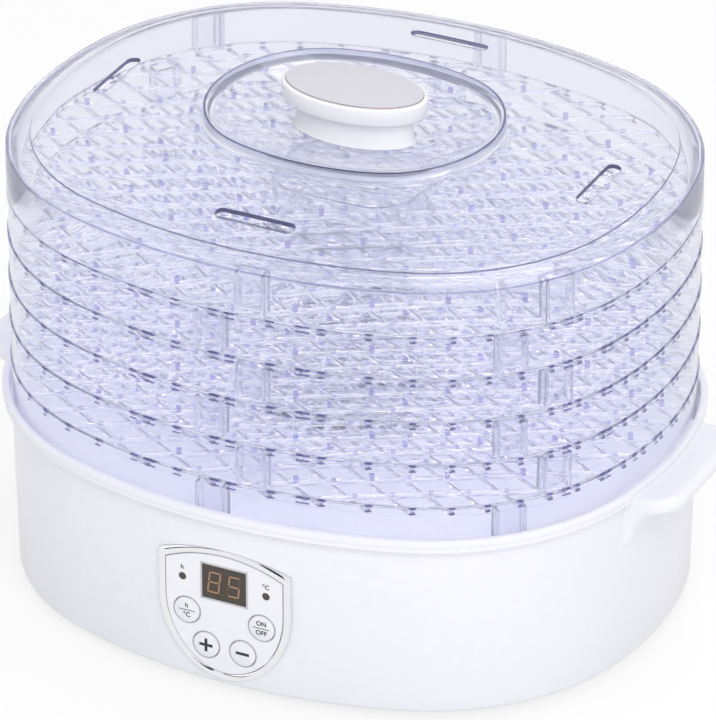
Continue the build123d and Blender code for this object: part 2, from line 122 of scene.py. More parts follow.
class Outline:
    """An oval of eight tangent arcs, kept as points with their outward normals."""

    def __init__(self, length, width, corner, bulge_y, bulge_x, steps=ARC_STEPS):
        corner_x = length / 2 - corner - bulge_x
        corner_y = width / 2 - corner - bulge_y
        side_radius = (corner_x**2 + (corner + bulge_y) ** 2 - corner**2) / (2 * bulge_y)
        end_radius = (corner_y**2 + (corner + bulge_x) ** 2 - corner**2) / (2 * bulge_x)
        side_centre = width / 2 - side_radius
        end_centre = length / 2 - end_radius
        side = math.atan2(corner_y - side_centre, corner_x)
        end = math.atan2(corner_y, corner_x - end_centre)
        half = math.pi
        arcs = (
            (end_centre, 0, end_radius, -end, end),
            (corner_x, corner_y, corner, end, side),
            (0, side_centre, side_radius, side, half - side),
            (-corner_x, corner_y, corner, half - side, half - end),
            (-end_centre, 0, end_radius, half - end, half + end),
            (-corner_x, -corner_y, corner, half + end, half + side),
            (0, -side_centre, side_radius, half + side, 2 * half - side),
            (corner_x, -corner_y, corner, 2 * half - side, 2 * half - end),
        )
        self.points = []
        for centre_x, centre_y, radius, start, stop in arcs:
            for step in range(steps):
                angle = start + (stop - start) * step / steps
                normal = Vector((math.cos(angle), math.sin(angle), 0))
                self.points.append((Vector((centre_x, centre_y, 0)) + radius * normal, normal))

    def loop(self, inset, level):
        return [point - inset * normal + Vector((0, 0, level)) for point, normal in self.points]

    def disc(self, radius, level):
        return [radius * normal + Vector((0, 0, level)) for _, normal in self.points]


class Ellipse(Outline):
    """A plain ellipse, kept in the same way."""

    def __init__(self, length, width, steps=96):
        self.points = []
        for step in range(steps):
            angle = 2 * math.pi * step / steps
            point = Vector((length / 2 * math.cos(angle), width / 2 * math.sin(angle), 0))
            normal = Vector((width * math.cos(angle), length * math.sin(angle), 0)).normalized()
            self.points.append((point, normal))


def mixed(first, second, share, level):
    """A loop part of the way from one loop to another, at one level."""
    loop = [a.lerp(b, share) for a, b in zip(first, second)]
    for point in loop:
        point.z = level
    return loop


def loft(bm, loops, ring=False, material=0):
    """Joins loops of equal count with quads. A ring closes on its first loop, any other loft is capped."""
    rows = [[bm.verts.new(point) for point in loop] for loop in loops]
    pairs = list(zip(rows, rows[1:]))
    if ring:
        pairs.append((rows[-1], rows[0]))
    count = len(rows[0])
    for lower, upper in pairs:
        for i in range(count):
            j = (i + 1) % count
            bm.faces.new((lower[i], lower[j], upper[j], upper[i])).material_index = material
    if not ring:
        bm.faces.new(rows[0][::-1]).material_index = material
        bm.faces.new(rows[-1]).material_index = material
    return rows


def bar(bm, first, last, section):
    """A bar between two points. Section is a list of (across, up) points round its cross-section."""
    along = (last - first).normalized()
    across = Vector((-along.y, along.x, 0))
    up = Vector((0, 0, 1))
    loft(bm, [[end + across * a + up * u for a, u in section] for end in (first, last)])


def paint_band(bm, rows, first, material):
    """Gives the faces between a row of a loft and the next row a material of their own."""
    chosen = set(rows[first] + rows[first + 1])
    for face in bm.faces:
        if len(face.verts) == 4 and all(v in chosen for v in face.verts):
            face.material_index = material


def block(bm, centre, size, turn=0.0, material=0):
    """A box given by its centre and size, turned about Z."""
    spin = Matrix.Rotation(turn, 4, "Z")
    x, y, z = (s / 2 for s in size)
    corners = [(-x, -y), (x, -y), (x, y), (-x, y)]
    loops = [[Vector(centre) + spin @ Vector((a, b, level)) for a, b in corners] for level in (-z, z)]
    loft(bm, loops, material=material)


def smooth(mesh):
    """Shades a mesh smooth, apart from the edges that turn more than the smooth angle."""
    for polygon in mesh.polygons:
        polygon.use_smooth = True
    mesh.set_sharp_from_angle(angle=SMOOTH_ANGLE)


def settle(name, bm, looks=()):
    """Turns a bmesh into a mesh, with its normals outward and its finishes in order."""
    bmesh.ops.recalc_face_normals(bm, faces=bm.faces)
    mesh = bpy.data.meshes.new(name)
    bm.to_mesh(mesh)
    bm.free()
    for look in looks:
        mesh.materials.append(look)
    return mesh


def piece(name, bm, body, looks, stands_for=()):
    """Turns a bmesh into a named piece that rides a body, with the given finishes."""
    mesh = settle(name, bm, looks)
    smooth(mesh)
    return place(name, mesh, body, stands_for)


def place(name, mesh, body, stands_for=(), matrix=None):
    """Puts a mesh on a body and the CAD nodes that it stands for."""
    obj = bpy.data.objects.new(name, mesh)
    bpy.context.scene.collection.objects.link(obj)
    if matrix is not None:
        obj.matrix_world = matrix
    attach(obj, body)
    if stands_for:
        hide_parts(*stands_for)
    return obj


def scratch(bm):
    """A loose object, for use as a cutter or a stage card."""
    obj = bpy.data.objects.new("cutter", settle("cutter", bm))
    bpy.context.scene.collection.objects.link(obj)
    return obj


def cut(obj, cutter):
    """Takes the cutter's volume out of obj and removes the cutter."""
    modifier = obj.modifiers.new("cut", "BOOLEAN")
    modifier.object = cutter
    modifier.operation = "DIFFERENCE"
    modifier.solver = "EXACT"
    settled = bpy.context.evaluated_depsgraph_get()
    mesh = bpy.data.meshes.new_from_object(obj.evaluated_get(settled))
    obj.modifiers.clear()
    old = obj.data
    mesh.name = old.name
    obj.data = mesh
    bpy.data.meshes.remove(old)
    bpy.data.objects.remove(cutter)
    smooth(mesh)


# Finishes: the scale of their fine noise, and what the clear plastic is like
SOLID_GRAIN = 180.0
CLEAR_GRAIN = 90.0
GLOW_GRAIN = 300.0
BUMP_DEPTH = 0.1 * MM
PLASTIC_IOR = 1.36
MILK_SHARE = 0.5


def sheet_of_nodes(name):
    """A new material with an empty node tree."""
    look = bpy.data.materials.new(name)
    look.use_nodes = True
    tree = look.node_tree
    tree.nodes.clear()
    return look, tree


def link(tree, source, target):
    """Joins an output socket to an input socket."""
    tree.links.new(source, target)


def grain(tree, scale, low, high):
    """Fine noise over the object, mapped between two values."""
    place_at = tree.nodes.new("ShaderNodeTexCoord")
    noise = tree.nodes.new("ShaderNodeTexNoise")
    noise.inputs["Scale"].default_value = scale
    noise.inputs["Detail"].default_value = 4.0
    spread = tree.nodes.new("ShaderNodeMapRange")
    spread.inputs["To Min"].default_value = low
    spread.inputs["To Max"].default_value = high
    link(tree, place_at.outputs["Object"], noise.inputs["Vector"])
    link(tree, noise.outputs["Fac"], spread.inputs["Value"])
    return noise, spread


def solid_look(name, colour, roughness, shade=0.04, bump=0.0, metallic=0.0):
    """An opaque finish: colour and roughness vary a little with fine noise."""
    look, tree = sheet_of_nodes(name)
    noise, spread = grain(tree, SOLID_GRAIN, roughness * 0.88, roughness * 1.12)
    tone = tree.nodes.new("ShaderNodeMixRGB")
    tone.inputs["Color1"].default_value = (*colour, 1)
    tone.inputs["Color2"].default_value = (*(c * (1 - shade) for c in colour), 1)
    surface = tree.nodes.new("ShaderNodeBsdfPrincipled")
    surface.inputs["Metallic"].default_value = metallic
    out = tree.nodes.new("ShaderNodeOutputMaterial")
    link(tree, noise.outputs["Fac"], tone.inputs["Fac"])
    link(tree, tone.outputs["Color"], surface.inputs["Base Color"])
    link(tree, spread.outputs["Result"], surface.inputs["Roughness"])
    if bump:
        relief = tree.nodes.new("ShaderNodeBump")
        relief.inputs["Strength"].default_value = bump
        relief.inputs["Distance"].default_value = BUMP_DEPTH
        link(tree, noise.outputs["Fac"], relief.inputs["Height"])
        link(tree, relief.outputs["Normal"], surface.inputs["Normal"])
    link(tree, surface.outputs["BSDF"], out.inputs["Surface"])
    return look


def clear_look(name, tint, shadow_tint, haze_tint, haze, roughness):
    """Clear moulded plastic: refracts, is a little milky, and lets lamp light through with a faint tint."""
    look, tree = sheet_of_nodes(name)
    noise, spread = grain(tree, CLEAR_GRAIN, roughness * 0.6, roughness * 1.4)
    tone = tree.nodes.new("ShaderNodeMixRGB")
    tone.inputs["Color1"].default_value = (*tint, 1)
    tone.inputs["Color2"].default_value = (*(c * 0.985 for c in tint), 1)
    surface = tree.nodes.new("ShaderNodeBsdfPrincipled")
    surface.inputs["Transmission Weight"].default_value = 1.0
    surface.inputs["IOR"].default_value = PLASTIC_IOR
    body = tree.nodes.new("ShaderNodeBsdfTranslucent")
    body.inputs["Color"].default_value = (*haze_tint, 1)
    skin = tree.nodes.new("ShaderNodeBsdfDiffuse")
    skin.inputs["Color"].default_value = (*haze_tint, 1)
    milk = tree.nodes.new("ShaderNodeMixShader")
    milk.inputs["Fac"].default_value = MILK_SHARE
    veil = tree.nodes.new("ShaderNodeMixShader")
    veil.inputs["Fac"].default_value = haze
    through = tree.nodes.new("ShaderNodeBsdfTransparent")
    through.inputs["Color"].default_value = (*shadow_tint, 1)
    path = tree.nodes.new("ShaderNodeLightPath")
    pick = tree.nodes.new("ShaderNodeMixShader")
    out = tree.nodes.new("ShaderNodeOutputMaterial")
    link(tree, noise.outputs["Fac"], tone.inputs["Fac"])
    link(tree, tone.outputs["Color"], surface.inputs["Base Color"])
    link(tree, spread.outputs["Result"], surface.inputs["Roughness"])
    link(tree, body.outputs["BSDF"], milk.inputs[1])
    link(tree, skin.outputs["BSDF"], milk.inputs[2])
    link(tree, surface.outputs["BSDF"], veil.inputs[1])
    link(tree, milk.outputs["Shader"], veil.inputs[2])
    link(tree, path.outputs["Is Shadow Ray"], pick.inputs["Fac"])
    link(tree, veil.outputs["Shader"], pick.inputs[1])
    link(tree, through.outputs["BSDF"], pick.inputs[2])
    link(tree, pick.outputs["Shader"], out.inputs["Surface"])
    return look


def glow_look(name, colour, glow, strength, roughness):
    """A dark lens with a dim light of its own."""
    look, tree = sheet_of_nodes(name)
    noise, spread = grain(tree, GLOW_GRAIN, roughness * 0.85, roughness * 1.15)
    tone = tree.nodes.new("ShaderNodeMixRGB")
    tone.inputs["Color1"].default_value = (*glow, 1)
    tone.inputs["Color2"].default_value = (*(c * 0.9 for c in glow), 1)
    surface = tree.nodes.new("ShaderNodeBsdfPrincipled")
    surface.inputs["Base Color"].default_value = (*colour, 1)
    surface.inputs["Emission Strength"].default_value = strength
    out = tree.nodes.new("ShaderNodeOutputMaterial")
    link(tree, noise.outputs["Fac"], tone.inputs["Fac"])
    link(tree, tone.outputs["Color"], surface.inputs["Emission Color"])
    link(tree, spread.outputs["Result"], surface.inputs["Roughness"])
    link(tree, surface.outputs["BSDF"], out.inputs["Surface"])
    return look


white_plastic = solid_look("white_plastic", (0.86, 0.86, 0.90), 0.30, bump=0.05)
# Painted light: the knob is a brighter copy of the white plastic, for the front light on its side
knob_white_painted_light = solid_look("painted_light_knob_white", (0.94, 0.94, 0.965), 0.30, bump=0.05)
HAZE_TINT = (0.82, 0.83, 1.0)
clear_plastic = clear_look(
    "clear_plastic", (0.978, 0.98, 0.9995), (0.935, 0.935, 0.975), HAZE_TINT, 0.09, 0.03
)
# Painted shade: a darker blue tint on the pegs, for the dark look that refraction gives them
peg_shade_plastic = clear_look(
    "clear_plastic_painted_peg_shade", (0.60, 0.60, 0.88), (0.88, 0.88, 0.96), (0.40, 0.40, 0.74), 0.18, 0.03
)
# Painted shade: a dark blue tint on the rib ends in the tray wall, for the marks that refraction makes there
rib_end_shade_plastic = clear_look(
    "clear_plastic_painted_rib_end_shade", (0.28, 0.28, 0.62), (0.7, 0.7, 0.85), (0.12, 0.12, 0.38), 0.5, 0.05
)
# Painted shade: a darker tint on the top chamfer of trays and lid, for the thin dark line at each joint
seam_shade_plastic = clear_look(
    "clear_plastic_painted_seam_shade", (0.55, 0.55, 0.76), (0.85, 0.85, 0.92), (0.32, 0.32, 0.52), 0.35, 0.05
)
# Painted shade: a greyer tint on the pads at the rib crossings
crossing_shade_plastic = clear_look(
    "clear_plastic_painted_crossing_shade", (0.78, 0.78, 0.92), (0.92, 0.92, 0.97), (0.55, 0.55, 0.80), 0.12, 0.03
)
# Painted shade: a dark tint on the lid's crease, ridge top and slot walls, for the dark line that a sharp
# crease shows in clear plastic
crease_shade_plastic = clear_look(
    "clear_plastic_painted_crease_shade", (0.14, 0.14, 0.28), (0.6, 0.6, 0.7), (0.07, 0.07, 0.17), 0.3, 0.05
)
ridge_plastic = clear_look(
    "clear_plastic_ridge", (0.97, 0.97, 0.99), (0.92, 0.92, 0.97), (0.78, 0.79, 0.96), 0.5, 0.03
)
lid_plastic = clear_look(
    "clear_plastic_lid", (0.985, 0.986, 0.9995), (0.95, 0.95, 0.98), HAZE_TINT, 0.10, 0.03
)
insert_plastic = solid_look("insert_plastic", (0.65, 0.64, 0.69), 0.45)
insert_edge = solid_look("insert_edge", (0.30, 0.25, 0.22), 0.5)
rubber = solid_look("rubber", (0.55, 0.55, 0.58), 0.7)
chrome = solid_look("chrome", (0.86, 0.86, 0.88), 0.08, metallic=1.0)
panel_white = solid_look("panel_white", (0.86, 0.86, 0.89), 0.38)
button_white = solid_look("button_white", (0.84, 0.84, 0.87), 0.42)
print_grey = solid_look("print_grey", (0.42, 0.42, 0.46), 0.5)
print_line = solid_look("print_line", (0.16, 0.16, 0.19), 0.5)
print_dark = solid_look("print_dark", (0.02, 0.022, 0.03), 0.5)
surround_grey = solid_look("surround_grey", (0.55, 0.55, 0.58), 0.45)
display_dark = solid_look("display_dark", (0.055, 0.042, 0.031), 0.15)
segment_dim = glow_look("segment_dim", (0.09, 0.062, 0.045), (0.05, 0.03, 0.02), 0.1, 0.3)
segment_lit = glow_look("segment_lit", (0.30, 0.17, 0.10), (0.9, 0.45, 0.22), 0.09, 0.3)
lamp_brown = glow_look("lamp_brown", (0.06, 0.045, 0.04), (0.9, 0.45, 0.2), 0.01, 0.2)
motor_steel = solid_look("motor_steel", (0.45, 0.45, 0.47), 0.4, metallic=1.0)
shaft_steel = solid_look("shaft_steel", (0.7, 0.7, 0.72), 0.25, metallic=1.0)
fan_plastic = solid_look("fan_plastic", (0.75, 0.75, 0.78), 0.4)
mica = solid_look("mica", (0.55, 0.45, 0.32), 0.6, shade=0.2)
heater_wire = solid_look("heater_wire", (0.5, 0.42, 0.38), 0.4, metallic=1.0)
circuit_board = solid_look("circuit_board", (0.05, 0.22, 0.10), 0.45)
black_plastic = solid_look("black_plastic", (0.03, 0.03, 0.035), 0.4)
screw_steel = solid_look("screw_steel", (0.6, 0.6, 0.62), 0.3, metallic=1.0)
screw_dark = solid_look("screw_dark", (0.04, 0.04, 0.04), 0.6)

node_looks = {
    "bottom_cover": white_plastic,
    "rubber_feet": rubber,
    "outlet_grille": white_plastic,
    "fan_motor": motor_steel,
    "motor_bracket": motor_steel,
    "motor_shaft": shaft_steel,
    "fan_impeller": fan_plastic,
    "heater_frame": mica,
    "heater_ribbon": heater_wire,
    "thermal_cutout": black_plastic,
    "power_board": circuit_board,
    "cord_gland": black_plastic,
    "panel_plate": panel_white,
    "display_window": display_dark,
    "control_board": circuit_board,
    "display_module": black_plastic,
    "indicator_leds": lamp_brown,
    "tact_switches": black_plastic,
}
for node_name, look in node_looks.items():
    nodes[node_name].data.materials.clear()
    nodes[node_name].data.materials.append(look)

stack = Outline(STACK_LENGTH, STACK_WIDTH, STACK_CORNER, FRONT_BULGE, END_BULGE)
ridge = Outline(RIDGE_LENGTH, RIDGE_WIDTH, RIDGE_CORNER, RIDGE_BULGE, RIDGE_BULGE)
knob = Ellipse(knob_high.x - knob_low.x, knob_high.y - knob_low.y)


def crossings(polygon, point, along):
    """Distances along a line at which it crosses a closed polygon, in order."""
    across = Vector((-along.y, along.x, 0))
    found = []
    for a, b in zip(polygon, polygon[1:] + polygon[:1]):
        da = (a - point).dot(across)
        db = (b - point).dot(across)
        if (da < 0) != (db < 0):
            hit = a.lerp(b, da / (da - db))
            found.append((hit - point).dot(along))
    return sorted(found)


def rounded_rectangle(length, width, corner, level, steps=8):
    """A level loop with straight sides and quarter-round corners."""
    loop = []
    for sign_x, sign_y, start in ((1, 1, 0), (-1, 1, 1), (-1, -1, 2), (1, -1, 3)):
        centre = Vector((sign_x * (length / 2 - corner), sign_y * (width / 2 - corner), level))
        for step in range(steps + 1):
            angle = (start + step / steps) * math.pi / 2
            loop.append(centre + corner * Vector((math.cos(angle), math.sin(angle), 0)))
    return loop


def bracket(bm, x, y, turn, top, bottom):
    """A U-shaped channel in plan that stands inside the wall, its back towards the middle."""
    inward = Matrix.Rotation(turn, 4, "Z")
    middle = (top + bottom) / 2
    height = top - bottom
    spot = Vector((x, y, 0))
    parts = (
        ((0, -BRACKET_DEPTH + BRACKET_WALL / 2), (BRACKET_WIDTH, BRACKET_WALL)),
        ((-(BRACKET_WIDTH - BRACKET_WALL) / 2, -BRACKET_DEPTH / 2), (BRACKET_WALL, BRACKET_DEPTH - WALL)),
        (((BRACKET_WIDTH - BRACKET_WALL) / 2, -BRACKET_DEPTH / 2), (BRACKET_WALL, BRACKET_DEPTH - WALL)),
    )
    for (px, py), (sx, sy) in parts:
        centre = spot + inward @ Vector((px, py, 0))
        block(bm, (centre.x, centre.y, middle), (sx, sy, height), turn)


def wall_spot(x, front):
    """A point on the front or back of the outline at this x, and the turn that faces outward there."""
    side = [p for p in stack.points if (p[0].y < 0) == front]
    point, normal = min(side, key=lambda p: abs(p[0].x - x))
    return point.x, point.y, math.atan2(normal.y, normal.x) - math.pi / 2


# Places along X of the brackets at the front and back, and of the strips in the lid
BRACKETS_FRONT = (-10 * MM, 129 * MM)
BRACKETS_BACK = (-16 * MM, -146 * MM)
LID_STRIPS = (127 * MM, -127 * MM)

# Finishes of a tray after the clear plastic, by their place in its list; each is a darker tint that paints
# shade
TRAY_SHADED_PEG, TRAY_RIB_END_SHADE, TRAY_SHADED_SEAM, TRAY_SHADED_CROSSING = 1, 2, 3, 4


def rib_foot(bm, spot, along, top):
    """Painted shade: dark lines in the wall where the upper and lower edges of a rib run into it, for the
    marks that refraction makes there.
    """
    _, normal = min(stack.points, key=lambda p: (p[0] - spot).length_squared)
    reach = min(RIB_WIDTH / 2 / max(abs(along.dot(normal)), RIB_FOOT_SLOPE), RIB_FOOT_REACH)
    turn = math.atan2(normal.y, normal.x) - math.pi / 2
    size = (2 * reach, RIB_FOOT_THICK, RIB_FOOT_HEIGHT)
    for drop in (RIB_FOOT_HEIGHT, 2 * RIB_DEPTH - RIB_FOOT_HEIGHT):
        block(bm, (spot.x, spot.y, top - drop), size, turn, TRAY_RIB_END_SHADE)


def inside(polygon, spot):
    """Whether a point lies inside a closed polygon in plan."""
    hits = crossings(polygon, spot, Vector((1, 0, 0)))
    return sum(1 for hit in hits if hit > 0) % 2 == 1


def tray_mesh(bottom, top):
    """One tray between two levels: wall, two layers of ribs, pegs, ring round the air opening, brackets."""
    bm = bmesh.new()
    wall = [
        (TOP_CHAMFER, top),
        (0, top - TOP_CHAMFER),
        (0, top - FLANGE_DEPTH + SOFT_EDGE),
        (FLANGE_PROUD, top - FLANGE_DEPTH - SOFT_EDGE),
        (FLANGE_PROUD, bottom + SOFT_EDGE),
        (FLANGE_PROUD + SOFT_EDGE, bottom),
        (WALL - SOFT_EDGE, bottom),
        (WALL, bottom + SOFT_EDGE),
        (WALL, top - SOFT_EDGE),
        (WALL - SOFT_EDGE, top),
    ]
    rows = loft(bm, [stack.loop(inset, level) for inset, level in wall], ring=True)
    # Painted shade on the top chamfer
    paint_band(bm, rows, 0, TRAY_SHADED_SEAM)
    inner = stack.loop(WALL - RIB_SINK, 0)
    hole = rounded_rectangle(
        RING_LENGTH - 2 * RING_OVERLAP, RING_WIDTH - 2 * RING_OVERLAP, RING_CORNER - RING_OVERLAP, 0
    )
    half = RIB_WIDTH / 2
    section = [
        (-half, -RIB_DEPTH),
        (half, -RIB_DEPTH),
        (half, -RIB_BEVEL),
        (half - RIB_BEVEL, 0),
        (RIB_BEVEL - half, 0),
        (-half, -RIB_BEVEL),
    ]
    reach = math.ceil(0.5 * math.hypot(STACK_LENGTH, STACK_WIDTH) / RIB_SPACING)
    for turn, level in ((RIB_ANGLE, top), (-RIB_ANGLE, top - RIB_DEPTH - RIB_LAYER_GAP)):
        along = Vector((math.cos(turn), math.sin(turn), 0))
        across = Vector((-along.y, along.x, 0))
        for step in range(-reach, reach + 1):
            start = across * (step * RIB_SPACING)
            ends = crossings(inner, start, along)
            if len(ends) != 2:
                continue
            gaps = crossings(hole, start, along)
            spans = [ends] if len(gaps) != 2 else [(ends[0], gaps[0]), (gaps[1], ends[1])]
            lift = Vector((0, 0, level))
            for first, last in spans:
                bar(bm, start + along * first + lift, start + along * last + lift, section)
            for end in ends:
                rib_foot(bm, start + along * end, along, top)
    side = RIB_SPACING / math.sin(2 * RIB_ANGLE)
    first = Vector((math.cos(RIB_ANGLE), math.sin(RIB_ANGLE), 0)) * side
    second = Vector((math.cos(RIB_ANGLE), -math.sin(RIB_ANGLE), 0)) * side
    keep_in = stack.loop(PEG_WALL_GAP, 0)
    keep_out = rounded_rectangle(
        RING_LENGTH + 2 * PEG_RING_GAP, RING_WIDTH + 2 * PEG_RING_GAP, RING_CORNER, 0
    )
    foot = top - RIB_BEVEL
    for i in range(-PEG_REACH, PEG_REACH + 1):
        for j in range(-PEG_REACH, PEG_REACH + 1):
            spot = first * i + second * j
            if not inside(keep_in, spot) or inside(keep_out, spot):
                continue
            tall = i % 2 == 0 and j % 2 == 0
            height = RIB_BEVEL + (PEG_RISE if tall else CROSSING_RISE)
            size = (PEG_SIDE, PEG_SIDE, height)
            # Pegs and crossing pads take their darker tints, painted shade
            material = TRAY_SHADED_PEG if tall else TRAY_SHADED_CROSSING
            block(bm, (spot.x, spot.y, foot + height / 2), size, RIB_ANGLE, material)
    floor_depth = 2 * RIB_DEPTH + FLOOR_SLACK
    ring = [
        (0, -floor_depth),
        (0, RING_HEIGHT - floor_depth - SOFT_EDGE),
        (SOFT_EDGE, RING_HEIGHT - floor_depth),
        (WALL - SOFT_EDGE, RING_HEIGHT - floor_depth),
        (WALL, RING_HEIGHT - floor_depth - SOFT_EDGE),
        (WALL, -floor_depth),
    ]
    loops = [
        rounded_rectangle(RING_LENGTH - 2 * i, RING_WIDTH - 2 * i, RING_CORNER - i, top + z) for i, z in ring
    ]
    loft(bm, loops, ring=True)
    for x in BRACKETS_FRONT:
        bracket(bm, *wall_spot(x, True), top - floor_depth, bottom)
    for x in BRACKETS_BACK:
        bracket(bm, *wall_spot(x, False), top - floor_depth, bottom)
    looks = (clear_plastic, peg_shade_plastic, rib_end_shade_plastic, seam_shade_plastic, crossing_shade_plastic)
    mesh = settle("tray_clear", bm, looks)
    smooth(mesh)
    return mesh


# Trays: one mesh, moved down by the pitch and turned half round on every second tray
first_low, first_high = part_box("tray_1")
tray_shape = tray_mesh(first_low.z, first_high.z)
for number in range(1, TRAY_COUNT + 1):
    name = f"tray_{number}"
    turn = Matrix.Rotation(math.pi if number % 2 == 0 else 0.0, 4, "Z")
    shift = Matrix.Translation((0, 0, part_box(name)[0].z - first_low.z))
    place(f"{name}_clear", tray_shape, name, (name, f"{name}_floor"), shift @ turn)

# Lid: wall, sloped edge, crease, domed plate, ridge and dish, outside first and then the inside
LID_WALL = 2.2 * MM
LID_EDGE = 230.0 * MM
CREASE_INSET = 12.0 * MM
CREASE_LEVEL = 233.6 * MM
CREASE_STEP = 0.6 * MM
CROWN_LEVEL = 242.0 * MM
RIDGE_TOP = lid_high.z
DISH_FLOOR = knob_low.z
DISH_START = 2.3 * MM
DISH_RUN = 40 * MM
DISH_DROP = 0.7 * MM
DISH_EASE = 0.9
DOME_EASE = 0.25
LID_BOTTOM = lid_low.z
PLATE_STEPS = 8
DISH_STEPS = 12

# Millimetres of inset and level: the edge from the top of the wall, and the ridge down from its top
LID_EDGE_PROFILE = ((0, -22.7), (0, -1.6), (0.3, -0.7), (0.9, -0.1), (1.7, 0.1))
RIDGE_PROFILE = ((0, 4.2), (0, 0.9), (0.3, 0.3), (0.9, 0), (1.5, 0.1), (2.0, 0.5))

# Finishes of the lid after the clear plastic, and the rows of its outside that have them; the crease and
# seam tints are painted shade
LID_RIDGE, LID_SHADED_CREASE, LID_SHADED_SEAM = 1, 2, 3
LID_BANDS = (
    (3, LID_SHADED_SEAM),
    (6, LID_SHADED_CREASE),
    (16, LID_RIDGE),
    (17, LID_RIDGE),
    (18, LID_SHADED_CREASE),
    (19, LID_SHADED_CREASE),
)


def dome(share):
    """Level of the plate, part of the way from the crease to the ridge."""
    rise = CROWN_LEVEL - CREASE_LEVEL - CREASE_STEP
    return CREASE_LEVEL + CREASE_STEP + rise * share * (1 + DOME_EASE - DOME_EASE * share)


def bowl(share):
    """Level of the dish, part of the way from the ridge to its floor."""
    start = RIDGE_TOP - DISH_DROP
    return start - (start - DISH_FLOOR) * math.sin(share * math.pi / 2) ** DISH_EASE


bm = bmesh.new()
outside = [stack.loop(SOFT_EDGE, LID_BOTTOM)]
outside += [stack.loop(inset * MM, LID_EDGE + level * MM) for inset, level in LID_EDGE_PROFILE]
outside.append(stack.loop(CREASE_INSET - 0.4 * MM, CREASE_LEVEL))
plate_edge = stack.loop(CREASE_INSET, CREASE_LEVEL + CREASE_STEP)
ridge_foot = ridge.loop(-0.6 * MM, CROWN_LEVEL)
for step in range(PLATE_STEPS + 1):
    share = step / PLATE_STEPS
    outside.append(mixed(plate_edge, ridge_foot, share, dome(share)))
outside += [ridge.loop(inset * MM, RIDGE_TOP - drop * MM) for inset, drop in RIDGE_PROFILE]
for step in range(DISH_STEPS + 1):
    share = step / DISH_STEPS
    outside.append(ridge.loop(DISH_START + (DISH_RUN - DISH_START) * share, bowl(share)))
within = []
for step in range(DISH_STEPS, 0, -1):
    share = step / DISH_STEPS
    within.append(ridge.loop(DISH_START + (DISH_RUN - DISH_START) * share, bowl(share) - LID_WALL))
within.append(ridge.loop(1.0 * MM, CROWN_LEVEL - LID_WALL))
for step in range(PLATE_STEPS, -1, -1):
    share = step / PLATE_STEPS
    within.append(mixed(plate_edge, ridge_foot, share, dome(share) - LID_WALL))
within += [
    stack.loop(3.2 * MM, LID_EDGE - 1.4 * MM),
    stack.loop(LID_WALL, LID_EDGE - 2.4 * MM),
    stack.loop(LID_WALL, LID_BOTTOM + SOFT_EDGE),
    stack.loop(LID_WALL - SOFT_EDGE, LID_BOTTOM),
]
rows = loft(bm, outside + within, ring=True)
middle = len(outside)
seam = set(rows[middle - 1] + rows[middle])
joined = [face for face in bm.faces if all(v in seam for v in face.verts)]
bmesh.ops.delete(bm, geom=joined, context="FACES_ONLY")
bm.faces.new(rows[middle - 1])
bm.faces.new(rows[middle][::-1])
for first, material in LID_BANDS:
    paint_band(bm, rows, first, material)
lid_looks = (lid_plastic, ridge_plastic, crease_shade_plastic, seam_shade_plastic)
lid_piece = piece("lid_clear", bm, "lid", lid_looks, ("lid",))

# Vent slots in the plate, cut from below the edge up; their walls take the dark crease tint, painted shade
SLOT_LENGTH = 41 * MM
SLOT_WIDTH = 7 * MM
SLOT_CORNER = SLOT_WIDTH / 2 - 0.01 * MM
SLOT_FROM_SIDE = 36 * MM
SLOT_FROM_END = 38 * MM
SLOT_CUT_BOTTOM = LID_EDGE - 6 * MM
slot_places = (
    (0, STACK_WIDTH / 2 - SLOT_FROM_SIDE, 0.0),
    (0, SLOT_FROM_SIDE - STACK_WIDTH / 2, 0.0),
    (STACK_LENGTH / 2 - SLOT_FROM_END, 0, math.pi / 2),
    (SLOT_FROM_END - STACK_LENGTH / 2, 0, math.pi / 2),
)
bm = bmesh.new()
for x, y, turn in slot_places:
    spin = Matrix.Rotation(turn, 4, "Z")
    loops = []
    for level in (SLOT_CUT_BOTTOM, RIDGE_TOP):
        flat = rounded_rectangle(SLOT_LENGTH, SLOT_WIDTH, SLOT_CORNER, level)
        loops.append([spin @ point + Vector((x, y, 0)) for point in flat])
    loft(bm, loops, material=LID_SHADED_CREASE)
cut(lid_piece, scratch(bm))

# Brackets and strips inside the lid's wall
LID_BRACKET_TOP = LID_EDGE - 1.5 * MM
LID_BRACKET_BOTTOM = LID_BOTTOM + 0.4 * MM
STRIP_SIZE = (3 * MM, 6 * MM, 21 * MM)
STRIP_INSET = 4.5 * MM
STRIP_LEVEL = LID_EDGE - 11 * MM
bm = bmesh.new()
for x in BRACKETS_FRONT:
    bracket(bm, *wall_spot(-x, False), LID_BRACKET_TOP, LID_BRACKET_BOTTOM)
for x in BRACKETS_BACK:
    bracket(bm, *wall_spot(-x, True), LID_BRACKET_TOP, LID_BRACKET_BOTTOM)
for x in LID_STRIPS:
    x, y, turn = wall_spot(x, x > 0)
    inward = Matrix.Rotation(turn, 4, "Z") @ Vector((0, -STRIP_INSET, 0))
    block(bm, (x + inward.x, y + inward.y, STRIP_LEVEL), STRIP_SIZE, turn)
piece("lid_brackets", bm, "lid", (lid_plastic,))

